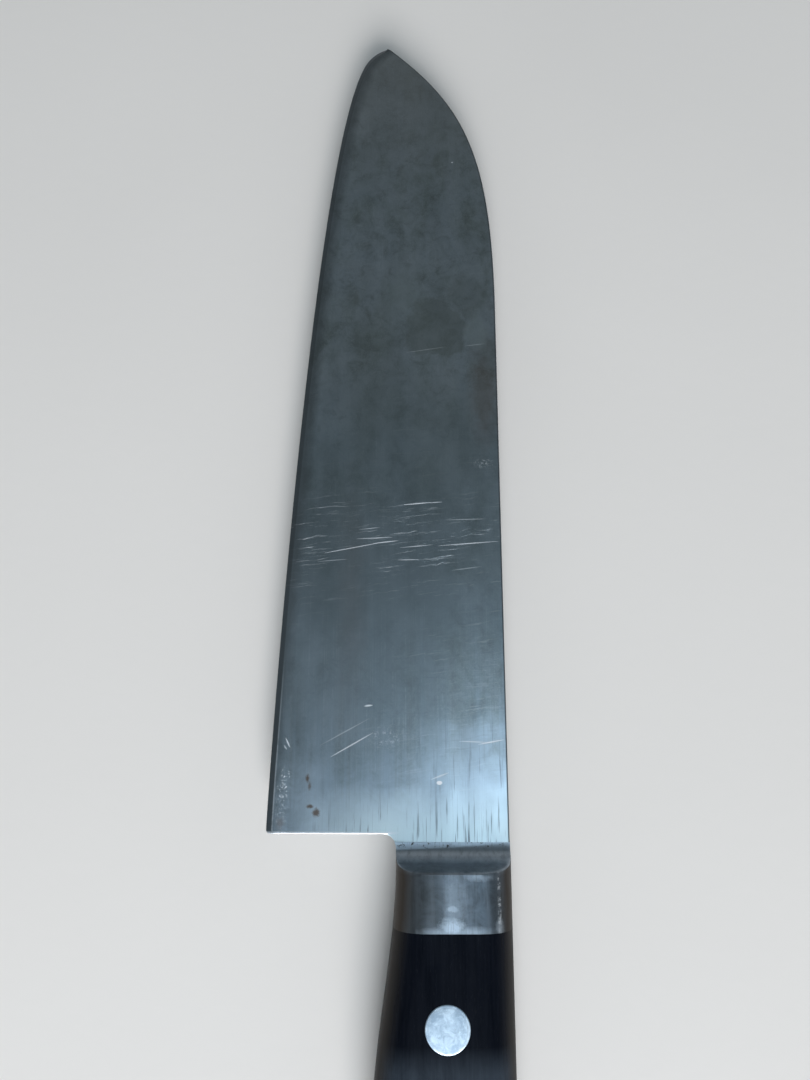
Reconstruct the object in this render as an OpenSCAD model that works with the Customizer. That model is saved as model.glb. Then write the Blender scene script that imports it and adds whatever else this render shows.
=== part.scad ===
// Chef knife: a straight-backed blade with a full tang, a welded bolster and a riveted handle.
//
// The knife lies flat on its right cheek. +X runs to the tip, +Y to the cutting edge and +Z up, and
// the origin is on the table under the middle of the whole knife. Inside the file the pieces are drawn
// in the knife's own layout: x = 0 is the heel, y = 0 the line of the spine and z = 0 the middle of
// the steel, and "back" means a distance from the heel towards the butt.

/* [Blade] */
// Length of the blade from the heel to the tip
blade_len = 180; // [130:1:260]
// Height of the blade at the heel, from the spine to the edge
heel_height = 46.5; // [38:0.5:60]
// Length of the front stretch where the spine curves down to the tip
spine_curve_len = 70; // [40:1:100]
// How far the tip lies below the line of the spine
tip_drop = 24.2; // [15:0.1:32]
// Slope of the spine where it meets the tip, in degrees
tip_fall_angle = 48.4; // [30:0.1:65]
// Radius of the nose of the tip
tip_nose_r = 0.9; // [0.5:0.1:2]
// Radius of the short belly of the edge just behind the tip
tip_belly_r = 9.4; // [4:0.1:12]
// Slope of the edge at the tip, in degrees
tip_belly_angle = 68.7; // [40:0.1:75]
// Slope of the long edge where the tip's belly starts, in degrees
edge_rise_angle = 27.7; // [12:0.1:28]
// Slope of the edge at the heel, in degrees
edge_heel_angle = 1; // [0:0.1:5]
// Radius of the heel's corner
heel_corner_r = 0.8; // [0.3:0.1:2]
// Radius of the inside corner between the heel and the handle
choil_r = 2.6; // [1:0.1:5]

/* [Steel] */
// Thickness of the tang, and of the spine at the heel
stock_thick = 2; // [1.5:0.1:4]
// Thickness at the heel just above the sharpened edge
edge_thick = 0.4; // [0.3:0.05:0.8]
// Thickness at the tip
tip_thick = 0.6; // [0.4:0.05:1]
// Width of the sharpened bevel
bevel_width = 0.8; // [0.4:0.1:2]
// Thickness left on the very edge
edge_land = 0.06; // [0.04:0.01:0.12]

/* [Handle] */
// Length of the handle from the heel to the butt
handle_len = 120; // [104:1:150]
// Thickness of the handle over both cheeks
handle_thick = 15.5; // [12:0.5:20]
// How far the rounding of a cheek reaches in from its sides
cheek_round_in = 5; // [2:0.5:5.5]
// How far the rounding of a cheek reaches down from its top
cheek_round_down = 6.5; // [2:0.5:6.5]
// Height of the handle at the bolster
bolster_height = 21.6; // [18:0.1:25]
// Depth of the belly at its swell, below the line of the spine
swell_depth = 25.9; // [22:0.1:30]
// Distance of the swell back from the heel
swell_at = 52; // [40:1:58]
// Depth of the belly at its waist, below the line of the spine
waist_depth = 24.3; // [21:0.1:28]
// Distance of the waist back from the heel
waist_at = 82; // [70:1:90]
// Depth of the belly at the butt, below the line of the spine
butt_depth = 27.4; // [25:0.1:31]
// How far the back of the handle falls towards the butt
back_fall = 2.4; // [0:0.1:3.5]
// Length of the straight back of the handle behind the heel
back_straight = 56; // [30:1:70]
// Radius of the butt's corner on the back
butt_back_r = 13; // [7:0.5:14]
// Radius of the butt's corner on the belly
butt_belly_r = 6.5; // [6:0.5:8]

/* [Bolster] */
// Distance of the bolster's front edge back from the heel
bolster_start = 1.4; // [0.8:0.1:3]
// Distance of the bolster's back face from the heel
bolster_end = 16; // [12:0.5:24]
// Radius of the hollow ramp at the bolster's front
ramp_r = 3.6; // [2:0.1:4.5]
// Lean of the bolster's front above the ramp, in degrees
ramp_lean = 10; // [0:1:20]
// Thickness of the bolster's front edge where it meets the blade
bolster_lip = 0.1; // [0.05:0.01:0.3]

/* [Rivets] */
// Diameter of the rivet heads
rivet_head_d = 8; // [6:0.5:10]
// Thickness of the rivet heads
rivet_head_thick = 2; // [1:0.1:3]
// Outer diameter of the tube half
rivet_tube_d = 5; // [4:0.1:5.5]
// Diameter of the pin half's shank
rivet_pin_d = 3.4; // [2:0.1:3.6]
// Distance of the front rivet back from the heel
front_rivet_at = 31.3; // [25:0.1:36]
// Distance between neighbouring rivets
rivet_pitch = 30; // [20:0.5:32]
// How far the rivets lie from the middle of the handle towards its belly
rivet_drop = 0.4; // [0:0.1:1]

/* [Fits] */
// Gap around a rivet head in its scale
head_gap = 0.02; // [0.01:0.01:0.1]
// Gap around a rivet tube in the scales and the tang
tube_gap = 0.1; // [0.05:0.05:0.2]
// Gap between a rivet's pin and the bore of its tube
pin_gap = 0.02; // [0.01:0.01:0.1]
// Gap left at each end of a rivet's halves
rivet_end_gap = 0.4; // [0.2:0.1:1]

/* [Hidden] */
$fn = 48;

half_handle = handle_thick / 2;
half_stock = stock_thick / 2;
half_land = edge_land / 2;
under_head = half_handle - rivet_head_thick;
// the rounding of a cheek leaves this much of its wall upright, beside the steel
upright_wall = 0.2;
round_down = min(cheek_round_down, half_handle - half_stock - upright_wall);
// the ground faces of the blade run this far back, under the bolster
grind_back = bolster_start + 0.7 * ramp_r;
// pull of each curve on its end tangents, as a share of the curve's length
spine_pull_back = 0.555;
spine_pull_tip = 0.35;
edge_pull_heel = 0.1;
edge_pull_tip = 0.13;
// what cuts a piece reaches this far past it: a little, or all the way through
reach = 2;
far = 400;

// ---- curves ----

function along(angle) = [cos(angle), sin(angle)];
function unit(v) = v / norm(v);
function left_of(run) = unit([-run.y, run.x]);
function blend(a, b, t) = a + (b - a) * t;
function limit(t) = min(1, max(0, t));
// a rise from 0 to 1 that is level at both ends
function ease(t) = (1 - cos(180 * limit(t))) / 2;
function arc(centre, r, from, to, steps) =
    [for (i = [0:steps]) centre + r * along(blend(from, to, i / steps))];
function bezier_point(a, b, c, d, t) =
    pow(1 - t, 3) * a + 3 * pow(1 - t, 2) * t * b + 3 * (1 - t) * t * t * c + pow(t, 3) * d;
function bezier(a, b, c, d, steps) = [for (i = [0:steps]) bezier_point(a, b, c, d, i / steps)];
function skip_first(points) = [for (i = [1:len(points) - 1]) points[i]];

// ---- outline of the blade ----

nose_centre = [blade_len - tip_nose_r, tip_drop];
belly_centre = nose_centre + (tip_nose_r - tip_belly_r) * along(90 - tip_belly_angle);
heel_centre = [heel_corner_r, heel_height - heel_corner_r];
spine_end = nose_centre + tip_nose_r * along(tip_fall_angle - 90);
edge_front = belly_centre + tip_belly_r * along(90 - edge_rise_angle);
edge_back = heel_centre + heel_corner_r * along(90 - edge_heel_angle);

function spine_curve() = bezier(
    [blade_len - spine_curve_len, 0],
    [blade_len - (1 - spine_pull_back) * spine_curve_len, 0],
    spine_end - spine_pull_tip * spine_curve_len * along(tip_fall_angle),
    spine_end, 24);
function nose() = arc(nose_centre, tip_nose_r, tip_fall_angle - 90, 90 - tip_belly_angle, 8);
function tip_belly() = arc(belly_centre, tip_belly_r, 90 - tip_belly_angle, 90 - edge_rise_angle, 10);
function long_edge() = bezier(
    edge_front,
    edge_front - edge_pull_tip * blade_len * along(-edge_rise_angle),
    edge_back + edge_pull_heel * blade_len * along(-edge_heel_angle),
    edge_back, 30);
function cutting_edge() = concat(tip_belly(), skip_first(long_edge()));
function heel_and_choil() = concat(
    arc(heel_centre, heel_corner_r, 90 - edge_heel_angle, 180, 6),
    arc([-choil_r, bolster_height + choil_r], choil_r, 0, -90, 10));

// ---- outline of the handle ----

butt_belly_at = handle_len - butt_belly_r;
butt_back_at = handle_len - butt_back_r;
// the belly is level as far back as the inside corner and the bolster's ramp reach
belly_level = max(choil_r, bolster_start + ramp_r);

function belly_depth(back) =
    back < swell_at
    ? blend(bolster_height, swell_depth, ease((back - belly_level) / (swell_at - belly_level)))
    : back < waist_at
    ? blend(swell_depth, waist_depth, ease((back - swell_at) / (waist_at - swell_at)))
    : blend(waist_depth, butt_depth, ease((back - waist_at) / (butt_belly_at - waist_at)));
function back_depth(back) = back_fall * ease((back - back_straight) / (butt_back_at - back_straight));
function handle_middle(back) = (belly_depth(back) + back_depth(back)) / 2;

function belly_run(from, to, steps) =
    [for (i = [0:steps]) let (back = blend(from, to, i / steps)) [-back, belly_depth(back)]];
function belly_line() = concat(
    belly_run(belly_level, swell_at, 14),
    skip_first(belly_run(swell_at, waist_at, 10)),
    skip_first(belly_run(waist_at, butt_belly_at, 9)));
function butt() = concat(
    skip_first(arc([-butt_belly_at, butt_depth - butt_belly_r], butt_belly_r, 90, 180, 9)),
    arc([-butt_back_at, back_fall + butt_back_r], butt_back_r, 180, 270, 12));
function back_line() =
    [for (i = [1:12]) let (back = blend(butt_back_at, back_straight, i / 12)) [-back, back_depth(back)]];

function steel_outline() = concat(
    spine_curve(), skip_first(nose()), skip_first(cutting_edge()), skip_first(heel_and_choil()),
    belly_line(), butt(), back_line());

// the cheeks are cut from a longer blank, whose front corners are round and are cut away
blank_corner_r = cheek_round_in + 1;
blank_front = cheek_round_in + reach;
function blank_outline() = concat(
    arc([blank_front - blank_corner_r, blank_corner_r], blank_corner_r, -90, 0, 6),
    arc([blank_front - blank_corner_r, bolster_height - blank_corner_r], blank_corner_r, 0, 90, 6),
    belly_line(), butt(), back_line());

// ---- faces of the blade ----

// half the thickness of the blade where x and y say: one flat plane on each side
face_fall = (stock_thick - edge_thick) / 2 / heel_height;
face_taper = (half_stock - tip_thick / 2 - face_fall * tip_drop) / blade_len;
function half_thick(p) = half_stock - face_fall * p.y - face_taper * p.x;

// a solid skinned over a stack of rings that have the same number of points
module loft(rings) {
    count = len(rings[0]);
    last = (len(rings) - 1) * count;
    sides = [for (r = [0:len(rings) - 2]) each [for (i = [0:count - 1]) let (
        j = (i + 1) % count,
        low = r * count,
        high = low + count
    ) each [[low + i, high + i, high + j], [low + i, high + j, low + j]]]];
    start_cap = [for (i = [0:count - 1]) i];
    end_cap = [for (i = [1:count]) last + count - i];
    polyhedron([for (ring = rings) each ring], concat([start_cap], sides, [end_cap]));
}

// everything between the face of the blade and a level, forwards from a distance behind the heel
module beside_face(level, back) {
    x_range = [-back, blade_len + reach];
    y_range = [-reach, heel_height + reach];
    corners = [
        [x_range[0], y_range[0]], [x_range[1], y_range[0]],
        [x_range[1], y_range[1]], [x_range[0], y_range[1]],
    ];
    on_face = [for (p = corners) [p.x, p.y, half_thick(p)]];
    on_level = [for (p = corners) [p.x, p.y, level]];
    loft(level > 0 ? [on_face, on_level] : [on_level, on_face]);
}

// the waste that leaves the sharpened bevel, a wedge swept along the cutting edge
module bevel_waste() {
    edge = cutting_edge();
    last = len(edge) - 1;
    run_on = 3 * bevel_width;
    front = edge[0] + run_on * unit(edge[0] - edge[1]);
    rear = edge[last] + run_on * unit(edge[last] - edge[last - 1]);
    path = concat([front], edge, [rear]);
    section = [[-reach, 0], [1.5 * bevel_width, 0], [1.5 * bevel_width, reach], [-reach, reach]];
    loft([for (i = [0:len(path) - 1]) let (
        into = left_of(path[min(len(path) - 1, i + 1)] - path[max(0, i - 1)]),
        slope = (half_thick(path[i] + bevel_width * into) - half_land) / bevel_width
    ) [for (q = section) let (p = path[i] + q[0] * into) [p.x, p.y, half_land + slope * q[0] + q[1]]]]);
}

// ---- rivet places ----

rivet_places = [for (i = [0:2]) let (back = front_rivet_at + i * rivet_pitch)
    [-back, handle_middle(back) + rivet_drop]];

module at_rivet(i) {
    translate([rivet_places[i].x, rivet_places[i].y, 0]) children();
}

knife_width = max([for (p = steel_outline()) p.y]);

module on_table() {
    translate([(handle_len - blade_len) / 2, -knife_width / 2, half_handle]) children();
}

// the left cheek is drawn as it lies, on top, and the right one is its mirror image below
module on_side(side) {
    if (side == "left") children();
    if (side == "right") mirror([0, 0, 1]) children();
}

// ---- pieces ----

module blade() {
    color("#6c757c") on_table() difference() {
        linear_extrude(stock_thick, center = true) polygon(steel_outline());
        for (side = ["left", "right"]) on_side(side) {
            beside_face(half_stock + reach, grind_back);
            bevel_waste();
        }
        for (i = [0:2]) at_rivet(i) cylinder(h = far, d = rivet_tube_d + 2 * tube_gap, center = true);
    }
}

// half of the whole handle, with its rounded edge, as one stack of rings
module cheek_blank() {
    outline = blank_outline();
    count = len(outline);
    inward = [for (i = [0:count - 1]) left_of(outline[(i + 1) % count] - outline[(i + count - 1) % count])];
    steps = 6;
    rounding = [for (k = [0:steps]) let (a = 90 * k / steps)
        [cheek_round_in * (1 - cos(a)), half_handle - round_down * (1 - sin(a))]];
    loft([for (q = concat([[0, 0]], rounding))
        [for (i = [0:count - 1]) let (p = outline[i] + q[0] * inward[i]) [p.x, p.y, q[1]]]]);
}

module behind(back) {
    translate([-far - back, -far / 2, -far / 2]) cube(far);
}

// the space in front of the bolster, above the face of the blade: a hollow ramp and a leaning front
module ramp_waste() {
    centre = [-bolster_start, bolster_lip + ramp_r];
    foot = centre - ramp_r * along(ramp_lean);
    top = foot + handle_thick * [-tan(ramp_lean), 1];
    // the ramp follows the slope of the blade's face across the blade
    translate([0, 0, half_stock]) rotate([90 - atan(face_fall), 0, 0])
        linear_extrude(far, center = true) union() {
            translate(centre) circle(ramp_r);
            polygon([centre, foot, top, [far, top.y], [far, centre.y]]);
        }
}

module bolster(side) {
    color("#8f979c") on_table() on_side(side) difference() {
        cheek_blank();
        ramp_waste();
        beside_face(-reach, bolster_end);
        translate([-grind_back - far, -far / 2, -far + half_stock]) cube(far);
        behind(bolster_end);
        translate([-bolster_start, -far / 2, -far / 2]) cube(far);
    }
}

module scale_piece(side) {
    color("#1c1d20") on_table() on_side(side) difference() {
        intersection() {
            cheek_blank();
            behind(bolster_end);
        }
        translate([-far, -far / 2, -far + half_stock]) cube([2 * far, far, far]);
        for (i = [0:2]) at_rivet(i) {
            cylinder(h = far, d = rivet_tube_d + 2 * tube_gap, center = true);
            translate([0, 0, under_head]) cylinder(h = far, d = rivet_head_d + 2 * head_gap);
        }
    }
}

module rivet_tube(i) {
    color("#c8ccd0") on_table() at_rivet(i) difference() {
        union() {
            translate([0, 0, under_head]) cylinder(h = rivet_head_thick, d = rivet_head_d);
            translate([0, 0, rivet_end_gap - under_head])
                cylinder(h = 2 * under_head - rivet_end_gap, d = rivet_tube_d);
        }
        translate([0, 0, -far]) cylinder(h = far + under_head, d = rivet_pin_d + 2 * pin_gap);
    }
}

module rivet_pin(i) {
    color("#c8ccd0") on_table() at_rivet(i) union() {
        translate([0, 0, -half_handle]) cylinder(h = rivet_head_thick, d = rivet_head_d);
        translate([0, 0, -half_handle])
            cylinder(h = half_handle + under_head - rivet_end_gap, d = rivet_pin_d);
    }
}

module bolster_left() bolster("left");
module bolster_right() bolster("right");
module scale_left() scale_piece("left");
module scale_right() scale_piece("right");
module rivet_front_tube() rivet_tube(0);
module rivet_middle_tube() rivet_tube(1);
module rivet_rear_tube() rivet_tube(2);
module rivet_front_pin() rivet_pin(0);
module rivet_middle_pin() rivet_pin(1);
module rivet_rear_pin() rivet_pin(2);

blade();
bolster_left();
bolster_right();
scale_left();
scale_right();
rivet_front_tube();
rivet_middle_tube();
rivet_rear_tube();
rivet_front_pin();
rivet_middle_pin();
rivet_rear_pin();
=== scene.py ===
import math

import bmesh
import bpy
import numpy as np
from mathutils import Matrix, Vector, noise


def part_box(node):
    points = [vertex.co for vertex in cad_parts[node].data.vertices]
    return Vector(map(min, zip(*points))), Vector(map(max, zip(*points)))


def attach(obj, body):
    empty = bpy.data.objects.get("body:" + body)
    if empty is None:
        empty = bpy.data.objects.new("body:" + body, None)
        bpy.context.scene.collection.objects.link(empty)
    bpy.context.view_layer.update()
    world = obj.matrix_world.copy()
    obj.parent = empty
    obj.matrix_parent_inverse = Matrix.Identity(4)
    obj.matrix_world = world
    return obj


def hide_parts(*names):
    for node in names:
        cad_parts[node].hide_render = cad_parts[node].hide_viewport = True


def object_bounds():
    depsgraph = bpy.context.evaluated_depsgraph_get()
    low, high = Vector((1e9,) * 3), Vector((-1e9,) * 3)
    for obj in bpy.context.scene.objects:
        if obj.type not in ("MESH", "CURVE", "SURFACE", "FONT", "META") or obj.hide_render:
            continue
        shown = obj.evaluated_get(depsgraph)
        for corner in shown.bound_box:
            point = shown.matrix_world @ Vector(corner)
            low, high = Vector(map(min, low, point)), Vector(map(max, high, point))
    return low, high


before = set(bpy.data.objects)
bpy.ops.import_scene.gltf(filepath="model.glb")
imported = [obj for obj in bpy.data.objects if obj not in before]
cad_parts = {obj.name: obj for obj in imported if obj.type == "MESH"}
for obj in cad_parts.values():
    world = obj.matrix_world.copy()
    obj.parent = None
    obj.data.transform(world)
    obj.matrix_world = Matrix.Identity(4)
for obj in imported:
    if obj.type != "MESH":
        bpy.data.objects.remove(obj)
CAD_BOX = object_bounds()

MM = 0.001
BODY = "root"

# ---- places and sizes that the frame gives ----

BOLSTER_START = 1.4
CHEEK_LOW, CHEEK_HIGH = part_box("bolster_left")
STEEL_LOW, STEEL_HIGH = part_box("blade")
HEEL = Vector((CHEEK_HIGH.x + BOLSTER_START * MM, STEEL_LOW.y, (CAD_BOX[0].z + CAD_BOX[1].z) / 2))

BLADE_LEN = (STEEL_HIGH.x - HEEL.x) / MM
HANDLE_LEN = (HEEL.x - STEEL_LOW.x) / MM
HEEL_HEIGHT = (STEEL_HIGH.y - STEEL_LOW.y) / MM
BOLSTER_END = (HEEL.x - CHEEK_LOW.x) / MM
HALF_STOCK = (STEEL_HIGH.z - STEEL_LOW.z) / 2 / MM
HALF_HANDLE = (CAD_BOX[1].z - HEEL.z) / MM
RIVET_NAMES = ("front", "middle", "rear")

# ---- sizes of the shapes in millimetres and degrees, with a few shares, rates and counts ----

TIP_DROP = 24.2
TIP_FALL = 48.4
NOSE_R = 0.9
SPINE_CURVE = 70.0
SPINE_PULLS = (0.555, 0.35)
TIP_BELLY_R = 9.4
TIP_BELLY_ANGLE = 68.7
EDGE_RISE = 27.7
EDGE_HEEL_ANGLE = 1.0
EDGE_PULLS = (0.1, 0.13)
HEEL_R = 0.8
CHOIL_R = 2.6
HALF_EDGE = 0.2
HALF_TIP = 0.3
HALF_LAND = 0.03
BEVEL_W = 0.85
BOLSTER_HEIGHT = 21.6
SWELL = (52.0, 25.9)
WAIST = (82.0, 24.3)
BUTT_DEPTH = 27.4
BACK_FALL = 2.4
BACK_STRAIGHT = 56.0
BUTT_BACK_R = 13.0
BUTT_BELLY_R = 6.5
ROUND_IN = 7.0
ROUND_POWER = 2.6
ROUND_DOWN = 6.5
RAMP_R = 3.6
RAMP_LEAN = 10.0
SPINE_ROUND = 0.28
HEEL_ROUND = 0.16
TANG_ROUND = 0.1
TANG_INSET = 0.04
TANG_INSET_RUN = 0.8
SPINE_ROUND_MOST = 0.7
HEEL_ROUND_MOST = 0.6
TANG_FROM = 2.8
TANG_RAMP = 1.4
WAVE_HEIGHT = 0.006
LONG_WAVE = (26, 15)
SHORT_WAVE = (9, 7)
SHORT_WAVE_SHARE = 0.4
WAVE_FADE = 6.0
BEVEL_WANDER = 0.16
BEVEL_AT_HEEL = 0.3
BEVEL_HEEL_RUN = 16.0
BEVEL_REACH = 1.2
LEAST_LAND = 0.9
EDGE_NORMALS_FROM = 2.0
ROUND_ROOM = 1.6
EDGE_PATCH_FULL = 2.6
RAMP_FIRST_RISE = 0.05
RAMP_FIRST_RATES = (1.6, 7)
RIDGE_SOFTNESS = 0.45
LIP_DEPTH = 0.0008
LIP_RATE = 6
LIP_HEIGHT = 0.2
CHEEK_INTO_STEEL = 0.03
SCALE_RUN_ON = 6.0
SCALE_LIP = 0.4
SCALE_BELOW_HEADS = 0.03
TIGHT_ROUND_LESS = 0.24
TIGHT_ROUND_RUN = 16.0
ROUND_STEPS = 18
HEAD_THICK = 2.0
HEAD_CLEARANCE = 0.04
SHANK_HOLE_R = 2.6
TUBE_R = 2.5
PIN_R = 1.7
PIN_CLEARANCE = 0.02
END_GAP = 0.4
RIVET_SIDES = 96
NEARLY_ZERO = 0.001
FAR_FROM_SPINE = 9.0

# ---- steps between the rows of points, in millimetres. Those round the bolster are in degrees ----

HANDLE_STEP = 1.6
BLADE_STEP = 0.9
TIP_STEP = 0.45
TIP_ZONE = 22.0
TIP_END = 2.0
SCALE_STEP = 1.2
NECK_ROWS = (5.4, 5.0, 4.6, 4.2, 3.8, 3.4, 3.0, 2.6, 2.2, 1.8, 1.4, 1.0, 0.7, 0.45, 0.25, 0.12, 0.04)
HEEL_ROWS = (0, 0.03, 0.07, 0.12, 0.17, 0.24, 0.34, 0.5, 0.7, 0.95, 1.3, 1.8, 2.4)
SPINE_ROUND_ROWS = (0, 0.03, 0.07, 0.13, 0.2, 0.29, 0.45)
BELLY_ROUND_ROWS = (0.4, 0.25, 0.15, 0.08, 0.03, 0)
BEVEL_ROWS = (1.6, 1.15, 1.02, 0.98, 0.7, 0.4, 0.15, 0)
LIP_ROWS = (0.08, 0.16, 0.24, 0.32, 0.4, 0.46, 0.52, 0.57, 0.62, 0.67, 0.73, 0.82, 0.95, 1.2, 1.6)
TURN_ROWS = (0, 3, 6, *range(10, 86, 4), 86.5, 88.2, 89.3, 90)
HEAD_ROWS = ((0.25, 0.004), (0.1, 0.02), (0.03, 0.06), (0, 0.14))

# ---- looks, room, lights and camera, in metres. The lens and its sensor are in millimetres ----

LEAST_ROUGH = 0.29
FLOOR_SIZE = 60
FLOOR_TINT = (0.83, 0.795, 0.755)
FLOOR_SHADE = 0.955
ROOM_OVERHEAD = (0.122, 0.144, 0.154, 1)
ROOM_LOW = (0.50, 0.52, 0.54, 1)
ROOM_LOW_FROM, ROOM_LOW_FULL = 0.66, 0.30
PAST_TIP_FROM, PAST_TIP_FULL = 0.25, 0.75
PAST_TIP_DIMMED = 0.35
# the name, place and aim of a softbox, then its sides, its watts and its colour
LIGHTS = (
    ("heel_softbox", (HEEL.x - 0.048, HEEL.y - 0.15, 1.05), (HEEL.x, HEEL.y, 0),
     (0.15, 0.34), 0.55, (0.67, 0.85, 1.0)),
    ("handle_softbox", (-0.72, -0.02, 1.02), (-0.05, 0, 0), (0.42, 0.70), 2.1, (0.62, 0.82, 1.0)),
    ("key_softbox", (-1.30, -0.12, 0.80), (0, 0, 0), (0.7, 0.7), 26, (0.98, 0.98, 1.0)),
)
CAMERA_AT = (HEEL.x + 0.01876, HEEL.y + 0.02038, 0.17166)
CAMERA_FORWARD = (0.2315, -0.0025, -0.9728)
CAMERA_RIGHT = (0.0010, -1.0, 0.0028)
CAMERA_LENS = 27.03
SENSOR_WIDTH = 36
CLIP_START = 0.01

# ---- sizes that follow from those, in millimetres ----

FACE_FALL = (HALF_STOCK - HALF_EDGE) / HEEL_HEIGHT
FACE_TAPER = (HALF_STOCK - HALF_TIP - FACE_FALL * TIP_DROP) / BLADE_LEN
MID_LINE = BOLSTER_HEIGHT + CHOIL_R
BELLY_LEVEL = BOLSTER_START + RAMP_R
RAMP_FOOT = RAMP_R * math.cos(math.radians(RAMP_LEAN))
BUTT_BELLY_AT = HANDLE_LEN - BUTT_BELLY_R
BUTT_BACK_AT = HANDLE_LEN - BUTT_BACK_R
UNDER_HEAD = HALF_HANDLE - HEAD_THICK


def laid(points):
    """Points of the knife's layout as a list of frame positions, in metres."""
    return (np.asarray(points, float) * MM + np.array(HEEL)).tolist()


def along(degrees):
    """A unit step in that direction."""
    a = math.radians(degrees)
    return np.array([math.cos(a), math.sin(a)])


def ease(t):
    """Rises from 0 to 1 with level ends."""
    return (1 - np.cos(np.pi * np.clip(t, 0, 1))) / 2


def arc(centre, r, start, end, steps):
    return np.array([centre + r * along(start + (end - start) * i / steps) for i in range(steps + 1)])


def bezier(a, b, c, d, steps):
    t = np.linspace(0, 1, steps + 1)[:, None]
    return (1 - t) ** 3 * a + 3 * (1 - t) ** 2 * t * b + 3 * (1 - t) * t * t * c + t ** 3 * d


def quarter(depth, r):
    """How far a quarter round of radius r drops at a depth in from its side."""
    return r - np.sqrt(np.clip(r * r - (r - np.clip(depth, 0, r)) ** 2, 0, None))


# ---- outline of the blade ----

nose_centre = np.array([BLADE_LEN - NOSE_R, TIP_DROP])
belly_centre = nose_centre + (NOSE_R - TIP_BELLY_R) * along(90 - TIP_BELLY_ANGLE)
heel_centre = np.array([HEEL_R, HEEL_HEIGHT - HEEL_R])
spine_end = nose_centre + NOSE_R * along(TIP_FALL - 90)
edge_front = belly_centre + TIP_BELLY_R * along(90 - EDGE_RISE)
edge_back = heel_centre + HEEL_R * along(90 - EDGE_HEEL_ANGLE)

SPINE_LINE = np.vstack([
    [[0, 0]],
    bezier(np.array([BLADE_LEN - SPINE_CURVE, 0]),
           np.array([BLADE_LEN - (1 - SPINE_PULLS[0]) * SPINE_CURVE, 0]),
           spine_end - SPINE_PULLS[1] * SPINE_CURVE * along(TIP_FALL), spine_end, 200),
    arc(nose_centre, NOSE_R, TIP_FALL - 90, 0, 30)[1:],
])
EDGE_LINE = np.vstack([
    arc(heel_centre, HEEL_R, 180, 90 - EDGE_HEEL_ANGLE, 30),
    bezier(edge_back, edge_back + EDGE_PULLS[0] * BLADE_LEN * along(-EDGE_HEEL_ANGLE),
           edge_front - EDGE_PULLS[1] * BLADE_LEN * along(-EDGE_RISE), edge_front, 400)[1:],
    arc(belly_centre, TIP_BELLY_R, 90 - EDGE_RISE, 90 - TIP_BELLY_ANGLE, 60)[1:],
    arc(nose_centre, NOSE_R, 90 - TIP_BELLY_ANGLE, 0, 20)[1:],
])


def inward(line, x, towards, from_x):
    """Unit normals of an outline, into the steel, at each x. Before from_x the line runs straight on."""
    run = np.gradient(line, axis=0)
    normal = np.stack([-run[:, 1], run[:, 0]], 1)
    normal /= np.linalg.norm(normal, axis=1)[:, None]
    normal *= np.sign(normal[:, 1] * towards)[:, None]
    keep = line[:, 0] >= from_x
    at = np.maximum(x, from_x)
    found = np.stack([np.interp(at, line[keep, 0], normal[keep, k]) for k in (0, 1)], 1)
    return found / np.linalg.norm(found, axis=1)[:, None]


# ---- outline of the handle, with distances back from the heel ----


def belly_y(back):
    """The belly of the handle: a swell behind the bolster, a waist and a drop to the butt."""
    back = np.asarray(back, float)
    knots = ((BELLY_LEVEL, BOLSTER_HEIGHT), SWELL, WAIST, (BUTT_BELLY_AT, BUTT_DEPTH))
    front, middle, rear = [y0 + (y1 - y0) * ease((back - x0) / (x1 - x0))
                           for (x0, y0), (x1, y1) in zip(knots, knots[1:])]
    depth = np.where(back < SWELL[0], front, np.where(back < WAIST[0], middle, rear))
    past = np.clip(back - BUTT_BELLY_AT, 0, BUTT_BELLY_R)
    return depth - (BUTT_BELLY_R - np.sqrt(BUTT_BELLY_R ** 2 - past ** 2))


def back_y(back):
    """The back of the handle: straight, then it falls to the rounded butt."""
    back = np.asarray(back, float)
    past = np.clip(back - BUTT_BACK_AT, 0, BUTT_BACK_R)
    fall = BACK_FALL * ease((back - BACK_STRAIGHT) / (BUTT_BACK_AT - BACK_STRAIGHT))
    return fall + (BUTT_BACK_R - np.sqrt(BUTT_BACK_R ** 2 - past ** 2))


def neck_y(back):
    """The belly side of the steel: the handle's belly, and the inside corner behind the heel."""
    back = np.asarray(back, float)
    rise = np.clip(CHOIL_R - back, 0, CHOIL_R)
    corner = MID_LINE - np.sqrt(CHOIL_R ** 2 - rise ** 2)
    return np.where(back < CHOIL_R, corner, belly_y(back))


def tang_inset(back):
    """The edge of the tang lies a hair inside the bolster and the scales."""
    return TANG_INSET * np.clip((back - BOLSTER_START) / TANG_INSET_RUN, 0, 1)


# ---- mesh helpers ----


def placed(name, data):
    """A new object of the scene, from a mesh, a light or a camera."""
    made = bpy.data.objects.new(name, data)
    bpy.context.scene.collection.objects.link(made)
    return made


def new_piece(name, mesh, material, nodes, crease=30):
    """Finishes a piece: material, smooth shading with creases, and its place in the frame's table."""
    mesh.materials.clear()
    mesh.materials.append(material)
    mesh.shade_smooth()
    mesh.set_sharp_from_angle(angle=math.radians(crease))
    piece = placed(name, mesh)
    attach(piece, BODY)
    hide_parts(*nodes)
    return piece


def point_values(mesh, name, numbers):
    """Gives each point of a mesh a named number."""
    values = mesh.attributes.new(name, "FLOAT", "POINT")
    values.data.foreach_set("value", np.asarray(numbers, np.float32))


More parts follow.
